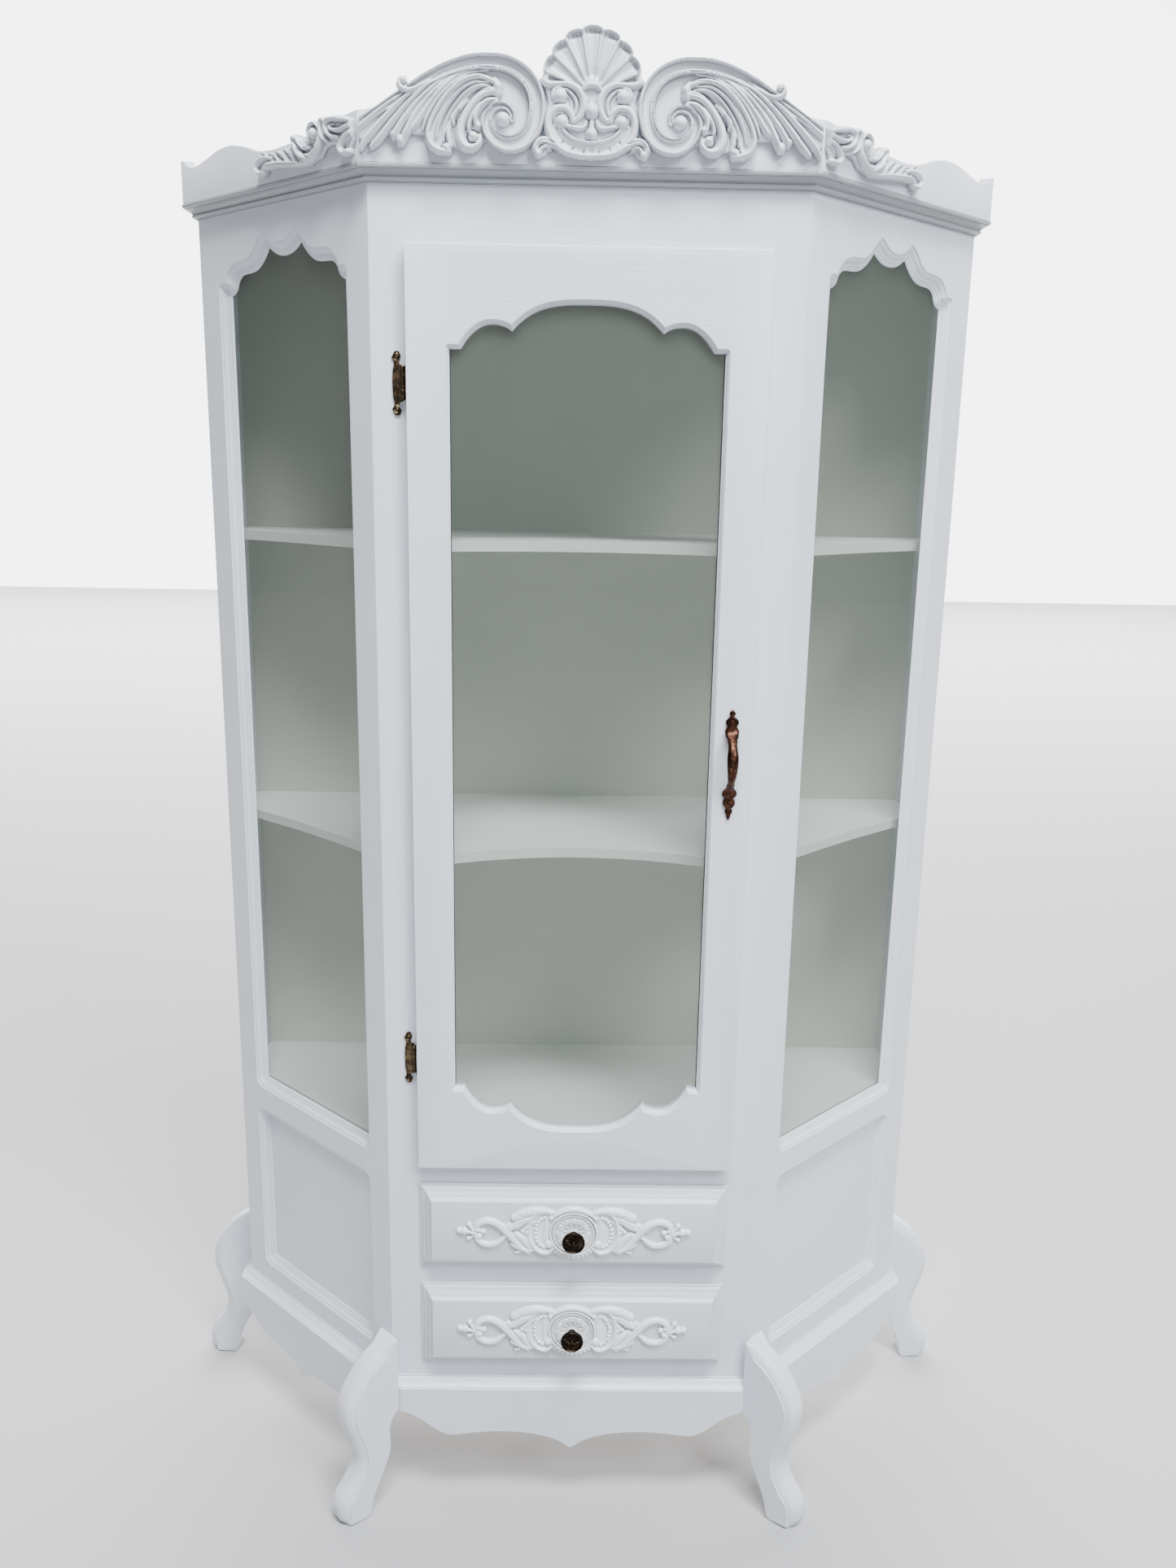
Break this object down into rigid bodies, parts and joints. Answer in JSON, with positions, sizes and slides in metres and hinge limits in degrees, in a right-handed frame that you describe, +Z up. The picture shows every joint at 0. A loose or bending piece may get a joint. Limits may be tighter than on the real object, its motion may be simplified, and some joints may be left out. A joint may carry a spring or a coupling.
{
  "type": "curio cabinet",
  "caption": "Tall white display cabinet with canted glazed sides, a glazed hinged door, drawers below, curved legs and a carved shell crest.",
  "frame": {"origin": "centre of the underside of the feet's bounding box", "axes": "+Z up, front face and door towards -Y, +X to the viewer's right"},
  "size_m": [1.193, 0.4156, 1.8929],
  "materials": {
    "white_paint": "satin brushed paint on wood",
    "inside_paint": "matt paint on board",
    "ornament_paint": "satin paint on carved ornament",
    "glass": "clear",
    "antique_brass": "dark antique, rubbed",
    "antique_copper": "antique copper, rubbed",
    "bare_wood": "unpainted"
  },
  "bodies": {
    "case": {"apron_front": "white_paint", "apron_left": "white_paint", "apron_right": "white_paint", "back_panel": "inside_paint", "bottom_panel": "bare_wood", "crest_board_front": "white_paint", "crest_board_left": "white_paint", "crest_board_right": "white_paint", "crest_cartouche": "ornament_paint", "crest_leaf_left": "ornament_paint", "crest_leaf_right": "ornament_paint", "crest_scroll_left": "ornament_paint", "crest_scroll_right": "ornament_paint", "door_catch": "bare_wood", "drawer_guide_left": "bare_wood", "drawer_guide_right": "bare_wood", "floor_panel": "inside_paint", "front_bottom_rail": "white_paint", "front_drawer_rail": "white_paint", "front_middle_rail": "white_paint", "front_post_left": "white_paint", "front_post_right": "white_paint", "front_top_rail": "white_paint", "hinge_lower_frame_leaf": "antique_brass", "hinge_upper_frame_leaf": "antique_brass", "leg_front_left": "white_paint", "leg_front_right": "white_paint", "leg_rear_left": "white_paint", "leg_rear_right": "white_paint", "middle_shelf": "inside_paint", "rear_post_left": "white_paint", "rear_post_right": "white_paint", "side_bottom_rail_left": "white_paint", "side_bottom_rail_right": "white_paint", "side_glass_left": "glass", "side_glass_right": "glass", "side_head_rail_left": "white_paint", "side_head_rail_right": "white_paint", "side_middle_rail_left": "white_paint", "side_middle_rail_right": "white_paint", "side_panel_left": "white_paint", "side_panel_right": "white_paint", "top_board": "white_paint", "upper_shelf": "inside_paint"},
    "door": {"door_bottom_rail": "white_paint", "door_top_rail": "white_paint", "door_stile_left": "white_paint", "door_stile_right": "white_paint", "door_glass": "glass", "door_handle": "antique_copper", "hinge_upper_door_leaf": "antique_brass", "hinge_lower_door_leaf": "antique_brass"},
    "drawer_upper": {"drawer_upper_front": "white_paint", "drawer_upper_box": "bare_wood", "drawer_upper_knob": "antique_brass", "drawer_upper_ornament": "ornament_paint"},
    "drawer_lower": {"drawer_lower_front": "white_paint", "drawer_lower_box": "bare_wood", "drawer_lower_knob": "antique_brass", "drawer_lower_ornament": "ornament_paint"}
  },
  "joints": [
    {"name": "door_hinge", "type": "hinge", "parent": "case", "child": "door", "pos_m": [-0.2114, -0.14844, 1.1], "axis": [0, 0, -1], "range_deg": [0, 110]},
    {"name": "drawer_upper_slide", "type": "slide", "parent": "case", "child": "drawer_upper", "axis": [0, -1, 0], "range_m": [0, 0.24]},
    {"name": "drawer_lower_slide", "type": "slide", "parent": "case", "child": "drawer_lower", "axis": [0, -1, 0], "range_m": [0, 0.24]}
  ]
}
